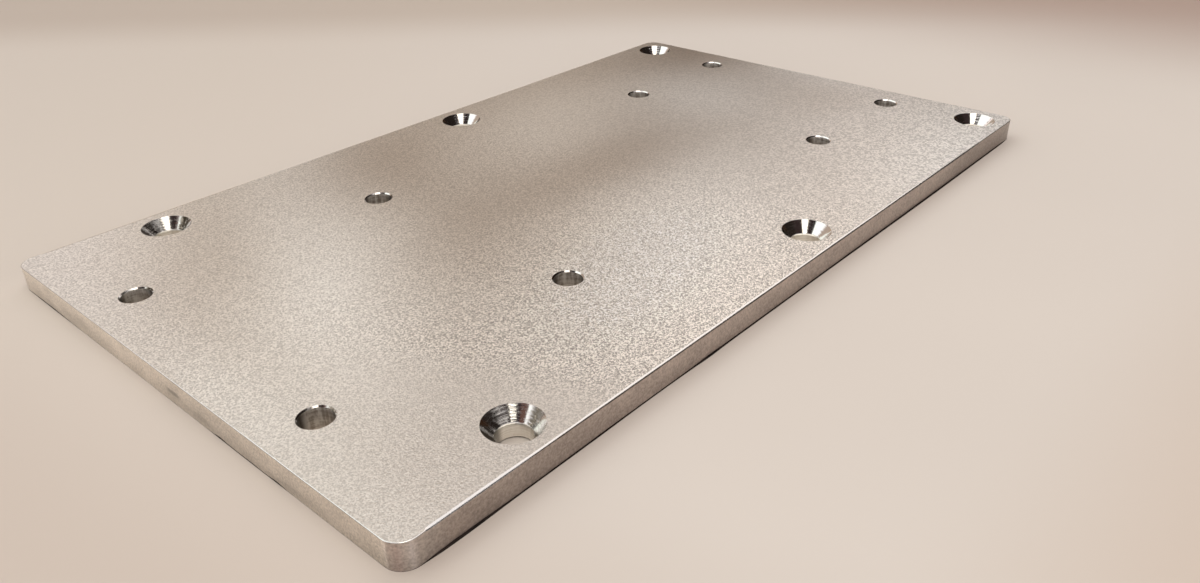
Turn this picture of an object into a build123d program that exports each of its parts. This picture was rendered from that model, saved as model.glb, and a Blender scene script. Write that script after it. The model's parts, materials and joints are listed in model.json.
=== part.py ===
from build123d import *
import os
from math import radians, tan

# Adapter plate: one flat rectangle of aluminium, sawn and milled to size, drilled through in
# two patterns. Screws sunk in its long sides hold it down, and plain holes take what sits on it.
# The plate lies flat on the floor: X runs along it, Y across it, Z up from its underside.

# The blank (mm)
plate_length = 254.0
plate_width = 152.4
plate_thickness = 6.35
corner_radius = 4.3
rim_break = 0.35

# Sunk screws: a row of three along each long side. The row starts close to the +X end,
# stops short of the -X end, and has its middle hole halfway between.
screw_side_margin = 9.525
screw_far_margin = 9.525
screw_near_margin = 34.925
screw_bore_diameter = 7.4
screw_head_diameter = 12.7
screw_head_angle = 82.0

# Plain holes: a row of two near each end, and two rows further in, which stand evenly
# about the middle screws.
row_spacing = 73.0
end_row_margin = 12.0
inner_row_spacing = 115.0
plain_bore_diameter = 7.14
plain_hole_break = 0.32

# Light break on the rims that the drills leave on the underside
underside_hole_break = 0.25

# Places that follow from the sizes above
half_length = plate_length / 2
screw_far_x = half_length - screw_far_margin
screw_near_x = screw_near_margin - half_length
screw_middle_x = (screw_far_x + screw_near_x) / 2
screw_y = plate_width / 2 - screw_side_margin
end_row_x = half_length - end_row_margin
row_y = row_spacing / 2

screw_places = [(x, y) for x in (screw_near_x, screw_middle_x, screw_far_x) for y in (-screw_y, screw_y)]
row_lines = (
    -end_row_x,
    screw_middle_x - inner_row_spacing / 2,
    screw_middle_x + inner_row_spacing / 2,
    end_row_x,
)
plain_places = [(x, y) for x in row_lines for y in (-row_y, row_y)]

with BuildPart() as adapter_plate:
    # Blank with its four upright corners rounded
    with BuildSketch():
        RectangleRounded(plate_length, plate_width, corner_radius)
    extrude(amount=plate_thickness)
    underside = adapter_plate.faces().sort_by(Axis.Z)[0]
    top = adapter_plate.faces().sort_by(Axis.Z)[-1]

    # Sharp edges taken off all round, above and below
    chamfer(top.outer_wire().edges() + underside.outer_wire().edges(), rim_break)

    # Through holes with a cone for a flat-headed screw
    with Locations(Plane.XY.offset(plate_thickness)):
        with Locations(*screw_places):
            CounterSinkHole(
                radius=screw_bore_diameter / 2,
                counter_sink_radius=screw_head_diameter / 2,
                counter_sink_angle=screw_head_angle,
            )

    # Plain through holes
    with Locations(Plane.XY.offset(plate_thickness)):
        with Locations(*plain_places):
            Hole(radius=plain_bore_diameter / 2)

    # Small bright break on the plain holes' upper rims
    top = adapter_plate.faces().sort_by(Axis.Z)[-1]
    plain_rims = top.edges().filter_by(
        lambda rim: rim.geom_type == GeomType.CIRCLE and abs(rim.radius - plain_bore_diameter / 2) < 0.01
    )
    chamfer(plain_rims, plain_hole_break)

    # The drills' burrs taken off the underside
    underside = adapter_plate.faces().sort_by(Axis.Z)[0]
    chamfer(underside.inner_wires().edges(), underside_hole_break)

adapter_plate.part.label = "adapter_plate"

# Height at which the screw's cone gives way to its straight bore, and its share of the plate
cone_depth = (screw_head_diameter - screw_bore_diameter) / 2 / tan(radians(screw_head_angle / 2))
print(f"straight bore under each cone {plate_thickness - cone_depth:.2f} mm long")
print(f"screw rows at x = {screw_near_x:.3f}, {screw_middle_x:.3f}, {screw_far_x:.3f}, y = +/-{screw_y:.3f}")
print(f"plain rows at x = {', '.join(f'{x:.3f}' for x in row_lines)}, y = +/-{row_y:.3f}")

os.makedirs("parts", exist_ok=True)
export_step(adapter_plate.part, "parts/adapter_plate.step")
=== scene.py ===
import json
from math import ceil, cos, degrees, exp, hypot, pi, radians, sin, tan

import bmesh
import bpy
from mathutils import Matrix, Vector, noise


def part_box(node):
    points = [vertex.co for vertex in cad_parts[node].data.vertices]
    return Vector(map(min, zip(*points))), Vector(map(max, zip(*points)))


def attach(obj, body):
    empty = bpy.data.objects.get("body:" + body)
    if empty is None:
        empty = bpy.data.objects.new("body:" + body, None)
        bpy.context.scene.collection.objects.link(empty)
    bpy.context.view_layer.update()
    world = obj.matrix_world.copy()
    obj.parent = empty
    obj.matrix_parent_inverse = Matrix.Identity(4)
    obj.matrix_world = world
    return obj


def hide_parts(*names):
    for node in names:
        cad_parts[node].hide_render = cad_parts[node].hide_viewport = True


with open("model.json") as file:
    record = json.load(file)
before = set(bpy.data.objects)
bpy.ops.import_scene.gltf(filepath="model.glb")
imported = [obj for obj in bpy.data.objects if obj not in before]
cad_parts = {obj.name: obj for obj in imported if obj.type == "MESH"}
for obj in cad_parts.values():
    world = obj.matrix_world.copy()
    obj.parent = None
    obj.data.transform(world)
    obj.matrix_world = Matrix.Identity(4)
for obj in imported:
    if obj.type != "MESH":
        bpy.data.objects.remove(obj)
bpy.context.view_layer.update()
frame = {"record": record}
scene = bpy.context.scene
scene.view_settings.view_transform = "Standard"


# The blank: a piece of quarter-inch aluminium bar, milled square on its four sides, its upright
# corners rounded and its edges broken by hand with a file, so the break is a little uneven.
# Its length, width and thickness are the solid's, taken from the frame.
lowest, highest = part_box("adapter_plate")
length, width, thickness = highest - lowest
corner_radius = 0.0043
corner_x, corner_y = length / 2 - corner_radius, width / 2 - corner_radius
corner_steps = 14
outline_step = 0.0007

# The upper edge in section, as shares of its break: how far in from the side, and how far down.
# The file was laid almost flat on it. The strips just below it are painted shade, a dull dark line.
flat_section = ((0.0, 0.50), (0.04, 0.34), (0.10, 0.20), (0.20, 0.10), (0.50, 0.03), (0.88, 0.0))
upper_break, upper_break_end = 0.00068, 0.00018
# Towards the ends of the near long side the file was held steeper, and left almost none of the dark strip of
# painted shade below it
steep_section = ((0.0, 0.40), (0.004, 0.385), (0.01, 0.37), (0.03, 0.33), (0.42, 0.15), (0.90, 0.0))
steep_from, steep_to = 0.089, 0.102
# Towards the far end the break narrows to that of the ends
narrow_from, narrow_to = 0.088, 0.102

# The lower edge in section: shares of its break inwards, of its hanging burr outwards, and of
# its break upwards. Break and burr fade out over the last stretch before a corner.
lower_section = ((0.5, 0.0, 0.0), (0.0, 1.0, 0.03), (0.0, 0.9, 0.3), (0.0, 0.0, 0.5), (0.0, 0.0, 1.0))
lower_break, lower_break_end = 0.00028, 0.00005
lower_burr = 0.00022
burr_fade = 0.004
# Break and burr are painted as the shadow under the plate, so these spots set how wide that dark line is
# Where the lower edge differs: middle, half length, extra break and extra burr
lower_spots = (
    ((-0.1130, -0.0762), 0.008, 0.00013, 0.00020),
    ((-0.0980, -0.0762), 0.008, -0.00011, 0.0),
    ((-0.0625, -0.0762), 0.014, 0.00006, -0.00016),
    ((-0.0430, -0.0762), 0.005, 0.00012, 0.00016),
    ((0.0650, -0.0762), 0.045, -0.00010, 0.00030),
    ((-0.1270, 0.0590), 0.011, 0.00029, 0.00005),
    ((-0.1270, -0.0200), 0.002, 0.00034, 0.0),
    ((-0.1270, -0.0300), 0.010, 0.00016, 0.00005),
    ((-0.1270, -0.0400), 0.002, 0.00036, 0.0),
)
# How the file wandered along an edge: changes in a metre, seed, and share of the break
file_wander = ((60, 0, 0.22), (420, 7, 0.12))
height_seed = 900

plate = bmesh.new()
plate_mesh = bpy.data.meshes.new("plate_body")


class Signal:
    """One output of a shader node. Sums and products with it add Math nodes."""

    def __init__(self, tree, socket=None):
        self.tree = tree
        self.socket = socket

    def node(self, kind, settings=None, inputs=None, output=0):
        """Adds a node, sets it up, fills its sockets with values or links, and gives one of its outputs."""
        made = self.tree.nodes.new(kind)
        for name, value in (settings or {}).items():
            if name == "stops":
                # A new ramp already has two stops, so a list of stops names its two ends first
                for i, (place, colour) in enumerate(value):
                    stop = made.color_ramp.elements[i] if i < 2 else made.color_ramp.elements.new(place)
                    stop.position, stop.color = place, colour
            else:
                setattr(made, name, value)
        for name, value in (inputs or {}).items():
            if isinstance(value, Signal):
                self.tree.links.new(value.socket, made.inputs[name])
            else:
                made.inputs[name].default_value = value
        return Signal(self.tree, made.outputs[output])

    def maths(self, operation, *values):
        """A Math node on values or links."""
        return self.node("ShaderNodeMath", {"operation": operation}, dict(enumerate(values)))

    def __add__(self, other):
        return self.maths("ADD", self, other)

    __radd__ = __add__

    def __sub__(self, other):
        return self.maths("SUBTRACT", self, other)

    def __rsub__(self, other):
        return self.maths("SUBTRACT", other, self)

    def __mul__(self, other):
        return self.maths("MULTIPLY", self, other)

    __rmul__ = __mul__

    def absolute(self):
        """The value without its sign."""
        return self.maths("ABSOLUTE", self)

    def at_least(self, other):
        """The larger of two values."""
        return self.maths("MAXIMUM", self, other)

    def bearing(self, across):
        """The angle in degrees of a line that goes this far up and that far across."""
        return self.maths("ARCTAN2", self, across) * degrees(1)

    def reach(self, across):
        """How far a point with these two coordinates lies from the middle."""
        return self.maths("SQRT", self * self + across * across)

    def parts(self):
        """The three numbers of a place or a direction."""
        split = self.node("ShaderNodeSeparateXYZ", None, {0: self}).socket.node
        return [Signal(self.tree, end) for end in split.outputs]

    def facing(self):
        """The three numbers of the direction that the surface faces."""
        return self.node("ShaderNodeTexCoord", output="Normal").parts()

    def stretched(self, x, y, z):
        """A place with its axes scaled apart, for marks that run one way."""
        return self.node("ShaderNodeVectorMath", {"operation": "MULTIPLY"}, {0: self, 1: (x, y, z)})

    def grain(self, size, detail=2.0, roughness=0.5):
        """Noise about 0.5 over this place, with cells of about the given size in metres."""
        return self.node(
            "ShaderNodeTexNoise",
            {"noise_dimensions": "3D", "normalize": True},
            {"Vector": self, "Scale": 1 / size, "Detail": detail, "Roughness": roughness},
        )

    def cells(self, size, output):
        """Small cells that fill the space, of about the given size in metres."""
        return self.node(
            "ShaderNodeTexVoronoi",
            {"voronoi_dimensions": "3D", "feature": "F1"},
            {"Vector": self, "Scale": 1 / size},
            output,
        )

    def facets(self, size):
        """A chance value for each cell."""
        return self.cells(size, "Color").parts()[0]

    def pits(self, size):
        """How far each place lies from the middle of its cell."""
        return self.cells(size, "Distance")

    def between(self, low, high, start=0.0, end=1.0):
        """A soft step: start below low, end above high."""
        return self.node(
            "ShaderNodeMapRange",
            {"interpolation_type": "SMOOTHSTEP"},
            {"Value": self, "From Min": low, "From Max": high, "To Min": start, "To Max": end},
        )

    def blend(self, first, second):
        """A mix of two colours by this value."""
        return self.node("ShaderNodeMix", {"data_type": "RGBA"}, {0: self, 6: first, 7: second}, output=2)

    def times(self, other):
        """A colour times a colour."""
        return self.node("ShaderNodeVectorMath", {"operation": "MULTIPLY"}, {0: self, 1: other})

    def no_more_than(self, other):
        """A colour kept under another one."""
        return self.node("ShaderNodeVectorMath", {"operation": "MINIMUM"}, {0: self, 1: other})

    def dimmed(self, share):
        """A colour times a share."""
        return self.node("ShaderNodeVectorMath", {"operation": "SCALE"}, {0: self, "Scale": share})

    def bump(self, height, strength):
        """A normal from heights in metres."""
        return self.node("ShaderNodeBump", None, {"Height": self, "Distance": height, "Strength": strength})


def material(build):
    """A material named for the function that gives, for a place, the inputs of its shader."""
    made = bpy.data.materials.new(build.__name__)
    made.use_nodes = True
    tree = made.node_tree
    shader = tree.nodes["Principled BSDF"]
    place = Signal(tree).node("ShaderNodeTexCoord", output="Object")
    for socket, value in build(place).items():
        if isinstance(value, Signal):
            tree.links.new(value.socket, shader.inputs[socket])
        else:
            shader.inputs[socket].default_value = value
    return made


def finish(build):
    """Adds a material to the plate. The function's name then stands for the material's number."""
    plate_mesh.materials.append(material(build))
    return len(plate_mesh.materials) - 1


@finish
def side(place):
    """The milled sides, stained here and there. The corners, rounded by hand, carry painted reflections:
    light and dark bands round the turn, browner in the middle.
    """
    milled = (0.386, 0.333, 0.299, 1)
    x, y, z = place.parts()
    above_zero = 0.00001
    past_end = (x.absolute() - corner_x).at_least(above_zero)
    past_side = (y.absolute() - corner_y).at_least(above_zero)
    round_by = past_side.bearing(past_end) * (1 / 90)
    # From the end round to the long side: light and dark bands of painted reflection
    corner = round_by.node("ShaderNodeValToRGB", {"stops": (
        (0.0, (0.627, 0.579, 0.516, 1)),
        (1.0, (0.444, 0.4, 0.367, 1)),
        (0.12, (0.656, 0.608, 0.56, 1)),
        (0.18, (0.468, 0.415, 0.376, 1)),
        (0.43, (0.415, 0.347, 0.318, 1)),
        (0.66, (0.482, 0.439, 0.405, 1)),
        (0.80, (0.55, 0.511, 0.492, 1)),
    )}, {"Fac": round_by})
    plain = x.absolute().between(0.114, 0.1225).blend(milled, corner)
    # Lighter and darker in some stretches: along the plate, up its side, darker at the foot, and along its
    # end
    stretch_tone = x.between(-0.082, -0.070, 1.0, 1.14) * x.between(0.062, 0.10, 1.0, 0.79)
    height = z.between(0.0002, 0.0044, 0.91, 1.05) * z.between(0.0046, 0.0057, 1.0, 1.06)
    bands = y.between(-0.046, -0.024, 1.06, 1.03) * y.between(-0.012, 0.010, 1.0, 1.13)
    bands = bands * y.between(0.036, 0.046, 1.0, 0.95)
    patches = place.stretched(1.0, 1.0, 1.6).grain(0.006, 4.0, 0.6)
    mottle = place.grain(0.0005, 1.0, 0.6)
    cutter = place.stretched(1.0, 1.0, 0.12).grain(0.0011, 3.0, 0.6)
    # Where the end was touched with something dark: middle and half lengths along it and up it, and share
    smudges = (
        (-0.0028, 0.0027, 0.0040, 0.0011, 0.45), (-0.0140, 0.0016, 0.0100, 0.0013, 0.16),
        (0.0420, 0.0026, 0.0120, 0.0020, 0.10), (-0.0420, 0.0012, 0.0110, 0.0012, 0.14),
    )
    clean = 1.0
    for middle_y, middle_z, half_y, half_z, share in smudges:
        first = (y - middle_y + patches * 0.003 - 0.0015) * (1 / half_y)
        second = (z - middle_z + patches * 0.002 - 0.001) * (1 / half_z)
        clean = first.reach(second).between(0.2, 1.0, 1 - share, 1.0) * clean
    return {
        "Base Color": plain.dimmed((patches * 0.5 + mottle * 0.9 + 0.30) * stretch_tone * height * bands * clean),
        "Metallic": 1.0,
        "Roughness": patches * 0.12 + 0.46,
        "Normal": (cutter * 0.5 + mottle * 0.5).bump(0.00003, 0.5),
    }


@finish
def under_edge_shade(place):
    """Painted shade: a dull dark line just under the filed edge, where its own shadow falls."""
    dark, dull = (0.09, 0.072, 0.063, 1), (0.20, 0.165, 0.145, 1)
    return {
        "Base Color": place.grain(0.003, 3.0, 0.6).between(0.3, 0.7).blend(dark, dull),
        "Metallic": 1.0,
        "Roughness": 0.5,
    }


@finish
def filed(place):
    """The filed edge itself, bright with fine scratches."""
    scratches = place.grain(0.0004, 3.0, 0.7)
    return {
        "Base Color": (0.72, 0.705, 0.69, 1),
        "Metallic": 1.0,
        "Roughness": scratches * 0.15 + 0.18,
        "Normal": scratches.bump(0.00002, 0.4),
    }


@finish
def contact_shadow(place):
    """The lower edges of the plate and of its holes, painted near black as the shadow where they meet the
    floor.
    """
    darkest, dark = (0.012, 0.008, 0.007, 1), (0.035, 0.024, 0.020, 1)
    unevenness = place.grain(0.004, 3.0, 0.6)
    return {
        "Base Color": unevenness.between(0.3, 0.7).blend(darkest, dark),
        "Specular IOR Level": 0.1,
        "Roughness": unevenness * 0.2 + 0.6,
    }


def outline_places():
    """Places round the outline in order, as (centre, direction), one corner radius from their centre."""
    sides = (
        (Vector((corner_x, -corner_y)), Vector((0, 1)), 2 * corner_y, 0.0),
        (Vector((corner_x, corner_y)), Vector((-1, 0)), 2 * corner_x, pi / 2),
        (Vector((-corner_x, corner_y)), Vector((0, -1)), 2 * corner_y, pi),
        (Vector((-corner_x, -corner_y)), Vector((1, 0)), 2 * corner_x, 3 * pi / 2),
    )
    found = []
    for start, along, side_length, facing in sides:
        outward = Vector((cos(facing), sin(facing)))
        steps = ceil(side_length / outline_step)
        found += [(start + along * side_length * i / steps, outward) for i in range(steps)]
        corner = start + along * side_length
        for i in range(corner_steps):
            turn = facing + pi / 2 * i / corner_steps
            found.append((corner, Vector((cos(turn), sin(turn)))))
    return found


def ring(points):
    """A closed ring of vertices."""
    return [plate.verts.new(point) for point in points]


def crease(loop):
    """Keeps the shading apart on the two sides of a ring."""
    for a, b in zip(loop, loop[1:] + loop[:1]):
        plate.edges.get((a, b)).smooth = False


def wall(lower, upper, finished):
    """Joins two rings, of as many vertices each, with faces of one finish."""
    for i, low in enumerate(lower):
        j = (i + 1) % len(lower)
        face = plate.faces.new((low, lower[j], upper[j], upper[i]))
        face.smooth = True
        face.material_index = finished


def ramp(value, low, high):
    """0 below low, 1 above high, and evenly between them."""
    return min(max((value - low) / (high - low), 0.0), 1.0)


def by_long_side(spot):
    """True along the long sides and where the corners run into them."""
    depth = 0.001
    return abs(spot.y) > width / 2 - depth


def uneven(spot, height):
    """A factor about 1: the file took a little more here and less there."""
    factor = 1.0
    for pace, seed, share in file_wander:
        factor += share * noise.noise(Vector((spot.x * pace, spot.y * pace, height * height_seed + seed)))
    return factor


def upper_ring(flat_shares, steep_shares):
    """One ring of the upper edge, at one point of its section."""
    corner_gap = 0.0015
    points = []
    for centre, outward in outline:
        spot = centre + outward * corner_radius
        on_long_side = by_long_side(spot) and abs(spot.x) < corner_x - corner_gap
        broken = upper_break if on_long_side else upper_break_end
        broken += (upper_break_end - broken) * ramp(spot.x, narrow_from, narrow_to)
        broken *= uneven(spot, thickness)
        steep = ramp(abs(spot.x), steep_from, steep_to) if spot.y < -corner_y else 0.0
        share_in, share_down = Vector(flat_shares).lerp(Vector(steep_shares), steep)
        flat = spot - outward * broken * share_in
        points.append((flat.x, flat.y, thickness - broken * share_down))
    return ring(points)


def lower_ring(share_in, share_out, share_up):
    """One ring of the lower edge, at one point of its section."""
    points = []
    for centre, outward in outline:
        spot = centre + outward * corner_radius
        share = ramp(corner_x - abs(spot.x), 0.0, burr_fade) if by_long_side(spot) else 0.0
        broken = lower_break_end + (lower_break - lower_break_end) * share
        burr = lower_burr * share
        for middle, half, extra_break, extra_burr in lower_spots:
            nearness = exp(-((spot - Vector(middle)).length / half) ** 2)
            broken += extra_break * nearness
            burr += extra_burr * nearness
        broken *= uneven(spot, 0.0)
        flat = spot + outward * (burr * share_out - broken * share_in)
        points.append((flat.x, flat.y, broken * share_up))
    return ring(points)


outline = outline_places()
lower_edge = [lower_ring(*shares) for shares in lower_section]
upper_edge = [upper_ring(*shares) for shares in zip(flat_section, steep_section)]
# The lower edge is painted as the shadow where the plate meets the floor
for below, above in zip(lower_edge, lower_edge[1:]):
    wall(below, above, contact_shadow)
wall(lower_edge[-1], upper_edge[0], side)
# The two strips just under the filed edge are painted shade
for below, above, finished in zip(upper_edge, upper_edge[1:], (under_edge_shade, under_edge_shade, filed, filed, filed)):
    wall(below, above, finished)
for sharp_edge in (lower_edge[-1], upper_edge[0], upper_edge[2]):
    crease(sharp_edge)
rims_above, rims_below = [upper_edge[-1]], [lower_edge[0]]


# The screw holes: six drilled through, three along each long side, and sunk with a countersink
# cutter for flat-headed screws, which leaves fine rings round the cone. Places and bores come
# from the record, and the cone from its head size and angle.
mounts = {mount["name"]: mount for mount in frame["record"]["mounts"]}
head_radius = 0.00635
head_angle = radians(82)
cone_rings = 72
cone_segments = 96
burr_break = 0.00025
# The cutter's chatter: the length of its waves down the cone, their height, and how fast they
# change round it. It fades out over a twelfth of the cone at either end.
chatter = ((0.00042, 0.000011, 1.3), (0.00017, 0.0000040, 2.5))
chatter_fade = 12
chatter_seeds = (900, 700)
# Where the cone runs into the bore the cutter left a soft edge: its reach down the bore, and its
# share of the cone
soft_reach = 0.0003
soft_share = 0.09
soft_steps = 6


@finish
def turned(place):
    """The cones, cut bright in fine rings. A band round them is a painted dark reflection, and in the near
    holes the walls that face the far end carry painted shade, near black.
    """
    bright, reflection_dark, shade_darkest = (0.81, 0.79, 0.755, 1), (0.08, 0.066, 0.048, 1), (0.034, 0.025, 0.018, 1)
    x, y = place.parts()[:2]
    facing_x, facing_y = place.facing()[:2]
    bearing = (facing_y * -1).bearing(facing_x * -1)
    near_end = x.between(-0.06, -0.03, 1.0, 0.0)
    rings = place.stretched(0.02, 0.02, 1.0).grain(0.00009, 3.0, 0.6)
    torn = place.grain(0.0009, 3.0, 0.6)
    # Where the painted dark reflection lies, where the near cones were scuffed, and where the painted shade
    # lies, by bearing
    dark_reflection_middle = near_end * y.between(-0.01, 0.01, 36, 50) - 47
    dark_reflection = (bearing - dark_reflection_middle).absolute().between(12, 24, 1.0, 0.0)
    dark_reflection = dark_reflection * near_end.at_least(y.between(0.0, 0.01)) * y.between(0.0, 0.01, 0.6, 1.0)
    scuffed = (bearing - y * 150 - 85).absolute().between(8, 20, 1.0, 0.0) * near_end
    scuffed = scuffed * rings.between(0.35, 0.60, 0.3, 1.0) * y.between(-0.01, 0.01, 0.10, 0.20)
    # Painted shade, near black, on the walls that face the far end in the near holes
    painted_shade = (facing_x + torn * 0.12).between(0.56, 0.72) * near_end
    metal = (dark_reflection * torn.between(0.30, 0.50)).blend(bright, reflection_dark)
    return {
        "Base Color": painted_shade.blend(metal, shade_darkest),
        "Metallic": 1 - painted_shade,
        "Specular IOR Level": 0.1,
        "Roughness": rings * 0.10 + 0.07 + near_end * torn.between(0.45, 0.65) * 0.11 + scuffed + painted_shade * 0.3,
        "Normal": rings.bump(0.000006, 0.4),
    }


@finish
def reamed(place):
    """The bores under the cones, left bright by the cutter's pilot. One of them carries painted shade on the
    walls that face the far end.
    """
    dull, bright = (0.77, 0.735, 0.665, 1), (1.0, 0.975, 0.92, 1)
    x, y = place.parts()[:2]
    # Painted shade on the walls that face the far end, in the near corner's bore
    painted_shade = place.facing()[0].between(-0.15, 0.32) * (x + y).between(-0.12, -0.10, 1.0, 0.0)
    rings = place.stretched(0.03, 0.03, 1.0).grain(0.00025, 3.0, 0.6)
    streaks = place.stretched(1.0, 1.0, 0.3).grain(0.0009, 3.0, 0.6)
    marks = rings * 0.7 + streaks * 0.3
    return {
        "Base Color": marks.between(0.38, 0.62).blend(dull, bright).dimmed(1 - painted_shade * 0.62),
        "Metallic": 1.0,
        "Roughness": streaks * 0.2 + 0.25,
        "Normal": marks.bump(0.00003, 0.6),
    }


def hole_places(name):
    """The centres of one bolt pattern of the record, with the bore's radius."""
    mount = mounts[name]
    across, along = mount["dims"].get("spacing_x_mm", 0) / 2000, mount["dims"]["spacing_y_mm"] / 2000
    middle = Vector(mount["pos_m"]).to_2d()
    shifts = {(x, y) for x in (-across, across) for y in (-along, along)}
    return [middle + Vector(shift) for shift in sorted(shifts)], mount["dims"]["hole_r_mm"] / 1000


def round_ring(centre, radius, height, segments):
    """A ring round an upright axis."""
    turns = [2 * pi * i / segments for i in range(segments)]
    return ring((centre.x + radius * cos(turn), centre.y + radius * sin(turn), height) for turn in turns)


def bore(centre, radius, top, segments, finished):
    """The straight stretch of a hole, with its lower rim broken. Gives back its upper ring."""
    foot = round_ring(centre, radius + burr_break, 0.0, segments)
    start = round_ring(centre, radius, burr_break, segments)
    end = round_ring(centre, radius, top, segments)
    # The broken foot is painted shadow, where the hole meets the floor
    wall(start, foot, contact_shadow)
    wall(end, start, finished)
    crease(start)
    rims_below.append(foot)
    return end


def grooved_ring(centre, share):
    """One ring of a cone, pushed in and out along the cone's normal by the cutter's chatter."""
    radius = bore_radius + (head_radius - bore_radius) * share
    height = thickness - cone_depth * (1 - share)
    down = slope_length * (1 - share)
    fade = min(1.0, chatter_fade * (share - soft_share), chatter_fade * (1 - share))
    points = []
    for i in range(cone_segments):
        turn = 2 * pi * i / cone_segments
        push = 0.0
        for wave, depth, change in chatter:
            seed = centre.x * chatter_seeds[0] + centre.y * chatter_seeds[1]
            push += depth * noise.noise(Vector((down / wave, change * cos(turn), change * sin(turn) + seed)))
        push *= fade
        reach = radius - push * cos(head_angle / 2)
        points.append((
            centre.x + reach * cos(turn), centre.y + reach * sin(turn), height + push * sin(head_angle / 2),
        ))
    return ring(points)


for pattern in ("sunk_screws_corners", "sunk_screws_middle"):
    centres, bore_radius = hole_places(pattern)
    cone_depth = (head_radius - bore_radius) / tan(head_angle / 2)
    slope_length = hypot(cone_depth, head_radius - bore_radius)
    for centre in centres:
        previous = bore(centre, bore_radius, thickness - cone_depth - soft_reach, cone_segments, reamed)
        for i in range(1, soft_steps):
            part = i / soft_steps
            share = soft_share * part ** 2
            radius = bore_radius + (head_radius - bore_radius) * share
            height = thickness - cone_depth * (1 - share) - soft_reach * (1 - part) ** 2
            current = round_ring(centre, radius, height, cone_segments)
            wall(current, previous, reamed)
            previous = current
        for i in range(cone_rings + 1):
            current = grooved_ring(centre, soft_share + (1 - soft_share) * i / cone_rings)
            wall(current, previous, turned)
            previous = current
        rims_above.append(previous)


# The plain holes: eight drilled through for screws from above, two near each end and two more
# pairs further in, with the burr taken off the upper rim by a light touch of the cutter.
mouth_break = 0.00032
plain_segments = 80


@finish
def drilled(place):
    """The plain bores as the drill left them, dull and streaked, with painted shade on part of their walls,
    by bearing.
    """
    dull, bright = (0.50, 0.43, 0.36, 1), (1.0, 0.95, 0.88, 1)
    x, y = place.parts()[:2]
    facing_x, facing_y = place.facing()[:2]
    bearing = (facing_y * -1).bearing(facing_x * -1)
    # Painted shade on part of the walls, by bearing
    painted_shade = (bearing + x * 180 - y * 300 - 40).absolute().between(28, 75)
    rings = place.stretched(0.10, 0.10, 1.0).grain(0.0005, 3.0, 0.65)
    streaks = place.stretched(1.0, 1.0, 0.25).grain(0.0009, 3.0, 0.65)
    marks = rings * 0.4 + streaks * 0.6
    return {
        "Base Color": marks.between(0.36, 0.60).blend(dull, bright).dimmed(1 - painted_shade * 0.80),
        "Metallic": 1.0,
        "Roughness": streaks * 0.2 + 0.42,
        "Normal": marks.bump(0.00005, 0.6),
    }


for pattern in ("end_row_holes", "inner_row_holes"):
    centres, bore_radius = hole_places(pattern)
    for centre in centres:
        neck = bore(centre, bore_radius, thickness - mouth_break, plain_segments, drilled)
        mouth = round_ring(centre, bore_radius + mouth_break, thickness, plain_segments)
        wall(mouth, neck, turned)
        crease(neck)
        rims_above.append(mouth)


# The face and the underside: the flats of the bar, between the outline and the mouths of the
# holes. The face was blasted with grit once the holes were in it, and the underside was only
# scratched by the bench. They close the plate, which is one piece of metal.
@finish
def blasted(place):
    """Blasted with fine grit, which left a grain of half a millimetre with bright facets."""
    pit, facet = (0.37, 0.348, 0.328, 1), (1.05, 1.012, 0.964, 1)
    bright, dull = (1.118, 1.134, 1.143, 1), (0.453, 0.361, 0.283, 1)
    white = (1, 1, 1)
    x, y = place.parts()[:2]
    cloud = place.grain(0.035, 3.0, 0.5)
    # Fine pits and facets at the near end, and coarser facets at the far end
    far = x.between(0.0, 0.09)
    fine = place.facets(0.00026) * 0.55 + place.pits(0.0006) * 0.45
    grit = (1 - far) * fine + far * place.facets(0.0005) * 0.8 + far * 0.1
    # How strongly the grain shows: most by the near long side, where the extra contrast is painted glint
    fading = (y + cloud * 0.03).between(-0.045, 0.025)
    grain_and_glint = (1 - fading) * (x + y * 0.4).between(-0.113, -0.092, 0.36, 1.10) + fading * 0.57
    grain_and_glint = grain_and_glint * x.between(-0.01, 0.07, 1.0, 0.48)
    metal = ((grit.between(0.22, 0.78) - 0.5) * grain_and_glint + 0.5).blend(pit, facet)
    # Soft patches of painted shade and reflection on the face: middle, half lengths, turn in degrees and
    # share
    shade_patches = (
        (0.129, 0.015, 0.110, 0.050, 166, -0.69), (-0.086, 0.004, 0.089, 0.041, 52, -0.42),
        (-0.031, -0.039, 0.098, 0.051, 15, -0.41), (0.107, -0.089, 0.110, 0.054, 7, -0.50),
        (0.121, 0.024, 0.048, 0.070, 162, 0.67), (-0.103, 0.084, 0.110, 0.070, 35, -0.27),
        (0.028, 0.045, 0.078, 0.040, 28, -0.40), (-0.033, 0.005, 0.130, 0.041, 46, 0.145),
        (0.090, 0.052, 0.130, 0.090, 3, 0.18), (-0.029, 0.059, 0.058, 0.028, 52, 0.21),
        (0.015, 0.000, 0.050, 0.0265, 0, 0.20), (-0.123, -0.012, 0.091, 0.0133, 90, -0.12),
        (-0.090, 0.044, 0.130, 0.020, 71, 0.11),
    )
    shade = 0.42
    for middle_x, middle_y, half_x, half_y, turned_by, share in shade_patches:
        across, along = sin(radians(turned_by)), cos(radians(turned_by))
        first = ((x - middle_x) * along + (y - middle_y) * across) * (1 / half_x)
        second = ((y - middle_y) * along - (x - middle_x) * across) * (1 / half_y)
        shade = first.reach(second).between(0.0, 1.0, share, 0.0) + shade
    relief = place.grain(0.0004, 1.0, 0.5) * 0.7 + place.grain(0.0011, 2.0, 0.5) * 0.3
    return {
        "Base Color": metal.times(shade.blend(bright, dull)).no_more_than(white),
        "Metallic": 0.78,
        "Roughness": cloud * 0.06 + 0.26,
        "Normal": relief.bump(0.00008, 1.0),
    }


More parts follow.
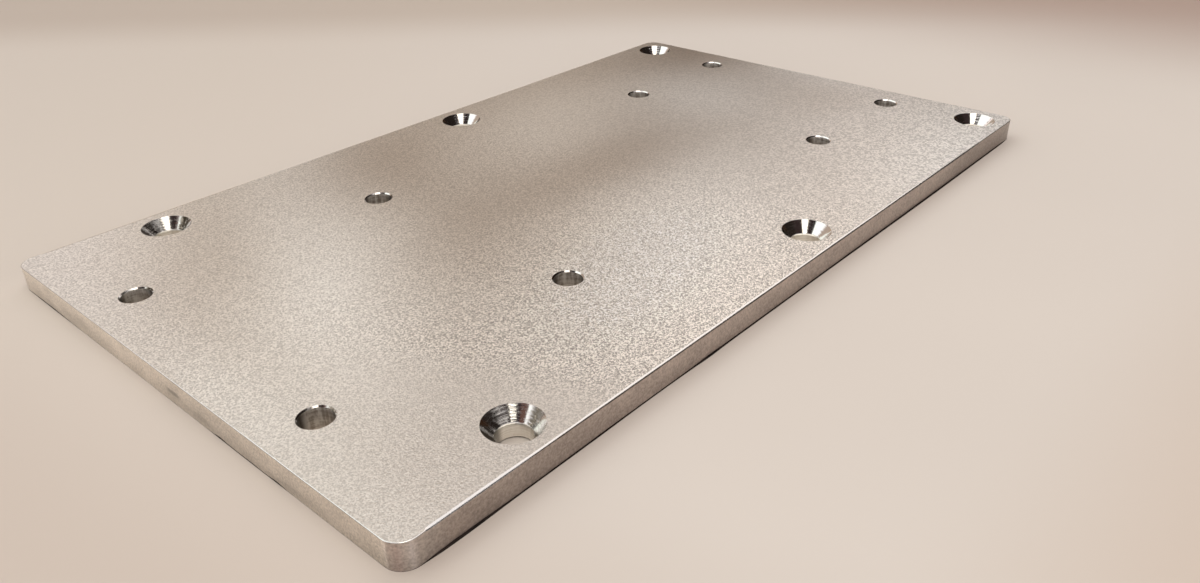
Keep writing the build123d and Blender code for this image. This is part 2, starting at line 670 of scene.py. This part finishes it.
@finish
def underside(place):
    """The underside, scratched along its length from lying and sliding on benches."""
    scratches = place.stretched(0.05, 1.0, 1.0).grain(0.0006, 3.0, 0.6)
    return {
        "Base Color": (0.74, 0.69, 0.64, 1),
        "Metallic": 1.0,
        "Roughness": scratches * 0.15 + 0.38,
        "Normal": scratches.bump(0.00003, 0.5),
    }


def flat_face(rims, up, finished):
    """Fills the flat between the outline and the mouths of the holes."""
    for rim in rims:
        crease(rim)
    edges = [plate.edges.get((a, b)) for rim in rims for a, b in zip(rim, rim[1:] + rim[:1])]
    made = bmesh.ops.triangle_fill(plate, edges=edges, use_beauty=True, normal=(0, 0, 1 if up else -1))
    for item in made["geom"]:
        if isinstance(item, bmesh.types.BMFace):
            item.material_index = finished
            if (item.normal.z > 0) != up:
                item.normal_flip()


# The fill takes points closer than 0.03 units for one, so the flats are filled in millimetres
millimetres = 1000.0
bmesh.ops.scale(plate, vec=(millimetres, millimetres, millimetres), verts=plate.verts)
flat_face(rims_above, True, blasted)
flat_face(rims_below, False, underside)
bmesh.ops.scale(plate, vec=(1 / millimetres, 1 / millimetres, 1 / millimetres), verts=plate.verts)
plate.normal_update()
plate.to_mesh(plate_mesh)
plate.free()
plate_body = bpy.data.objects.new("plate_body", plate_mesh)
scene.collection.objects.link(plate_body)
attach(plate_body, "root")
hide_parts("adapter_plate")


# The floor: a wide sheet of pale paper under the plate, which isn't part of it. It is spread
# flat, and takes the plate's shadow.
floor_reach = 3.0
floor_corners = [(x * floor_reach, y * floor_reach, 0.0) for x, y in ((-1, -1), (1, -1), (1, 1), (-1, 1))]
floor_mesh = bpy.data.meshes.new("floor")
floor_mesh.from_pydata(floor_corners, [], [(0, 1, 2, 3)])
floor = bpy.data.objects.new("floor", floor_mesh)
scene.collection.objects.link(floor)


def paper(place):
    """Pale paper, with painted shade that darkens it away from the plate: a little warmer towards the left
    and darker towards the back.
    """
    pale, paler = (0.729, 0.660, 0.605, 1), (0.753, 0.682, 0.625, 1)
    x, y = place.parts()[:2]
    tone = place.grain(0.12, 2.0, 0.5).between(0.2, 0.8).blend(pale, paler)
    # Painted shade across the sheet: direction, where it starts and ends, and the tone beyond
    shade_changes = (
        (-0.671, 0.741, -0.02, 0.16, (0.716, 0.638, 0.569, 1)),
        (-0.97, -0.24, 0.10, 0.17, (0.656, 0.566, 0.498, 1)),
        (0.741, 0.671, 0.17, 0.24, (0.599, 0.511, 0.442, 1)),
        (0.0, -1.0, 0.13, 0.185, (0.677, 0.574, 0.497, 1)),
        (0.98, 0.15, 0.18, 0.34, (0.472, 0.356, 0.304, 1)),
    )
    for toward_x, toward_y, start, end, beyond in shade_changes:
        tone = (x * toward_x + y * toward_y).between(start, end).blend(tone, beyond)
    return {"Base Color": tone, "Roughness": 0.75, "Specular IOR Level": 0.2}


floor_mesh.materials.append(material(paper))


# The light: a soft box over the near left, in a pale room that is bright at the back left and dark
# at the right, as the polished cones of the screw holes show it.
softbox_data = bpy.data.lights.new("softbox", "AREA")
softbox_data.shape = "RECTANGLE"
softbox_data.size, softbox_data.size_y = 1.086, 0.473
softbox_light = 2.07
softbox_data.energy = softbox_light * pi * softbox_data.size * softbox_data.size_y
softbox_data.color = (1.0, 0.944, 0.846)
softbox = bpy.data.objects.new("softbox", softbox_data)
softbox.location = (-0.36, -0.437, 1.0)
softbox.rotation_euler = (0, 0, radians(38.6))
scene.collection.objects.link(softbox)

world = bpy.data.worlds.new("room")
scene.world = world
world.use_nodes = True
x, y, z = Signal(world.node_tree).node("ShaderNodeTexCoord", output="Generated").parts()
azimuth = y.bearing(x)
elevation = z.maths("ARCSINE", z) * degrees(1)
# Each patch of the room: middle and half width round the horizon, lowest and highest edge, softness
# and lean, in degrees, and its light
patches = (
    (0, 200, 70, 91, 8, 0, (0.88, 0.84, 0.80, 1)),
    (10, 28, 21, 62, 6, 0, (1.35, 1.25, 1.18, 1)),
    (75, 8, 10, 40, 6, 0, (1.25, 1.14, 1.14, 1)),
    (59, 5, 10, 50, 4, 0, (1.17, 1.10, 1.04, 1)),
    (116, 51, 34, 69, 4, -0.57, (1.31, 1.36, 1.32, 1)),
    (-49, 46, -20, 59, 5, -1.16, (0.016, 0.011, 0.009, 1)),
    (-112, 30, -20, 36, 6, -1.85, (0.95, 0.90, 0.87, 1)),
    (-124, 59, 38, 65, 4, -0.25, (0.030, 0.018, 0.018, 1)),
    (50, 17, -20, 22, 4, 0.20, (0.035, 0.016, 0.008, 1)),
    (6, 28, -20, 14, 4, 0.20, (0.035, 0.016, 0.008, 1)),
    (46, 10, -20, 39, 4, -0.15, (0.446, 0.355, 0.277, 1)),
    (106, 20, -20, 30, 5, 0.57, (0.478, 0.384, 0.320, 1)),
    (149, 8, 9, 42, 6, 1.11, (0.393, 0.346, 0.283, 1)),
    (179, 16, 24, 46, 5, -0.80, (0.135, 0.070, 0.055, 1)),
    (179, 15, 46, 62, 5, -0.80, (0.020, 0.012, 0.012, 1)),
    (67, 4, -20, 42, 6, -0.03, (0.447, 0.330, 0.223, 1)),
)
lean_level = 40
room_strength = 1.06
pale_room = (1.10, 1.07, 1.09, 1)
light = pale_room
for middle, half, low, high, blur, lean, colour in patches:
    aside = azimuth - ((elevation - lean_level) * lean + middle)
    aside = aside.maths("WRAP", aside, 180, -180).absolute()
    mask = 1 - aside.between(half - blur / 2, half + blur / 2)
    mask = mask * elevation.between(low - blur / 2, low + blur / 2)
    mask = mask * (1 - elevation.between(high - blur / 2, high + blur / 2))
    light = mask.blend(light, colour)
background = world.node_tree.nodes["Background"]
world.node_tree.links.new(light.socket, background.inputs["Color"])
background.inputs["Strength"].default_value = room_strength


# The camera: held low over the plate's near left corner, as in the photograph, so that the
# plate runs away to the right. Everything is in focus.
camera_place = Vector((-0.18763, -0.17581, 0.11713))
camera_look = Vector((0.64281, 0.5816, -0.49853))
camera_right = Vector((0.66181, -0.74938, -0.02091))
focal_length = 28.86
camera_data = bpy.data.cameras.new("camera")
camera_data.lens = focal_length
camera_data.clip_start = 0.005
camera_data.clip_end = 20.0
camera = bpy.data.objects.new("camera", camera_data)
scene.collection.objects.link(camera)
back = -camera_look.normalized()
up = back.cross(camera_right).normalized()
right = up.cross(back)
turn = Matrix((right, up, back)).transposed()
camera.matrix_world = Matrix.Translation(camera_place) @ turn.to_4x4()
scene.camera = camera
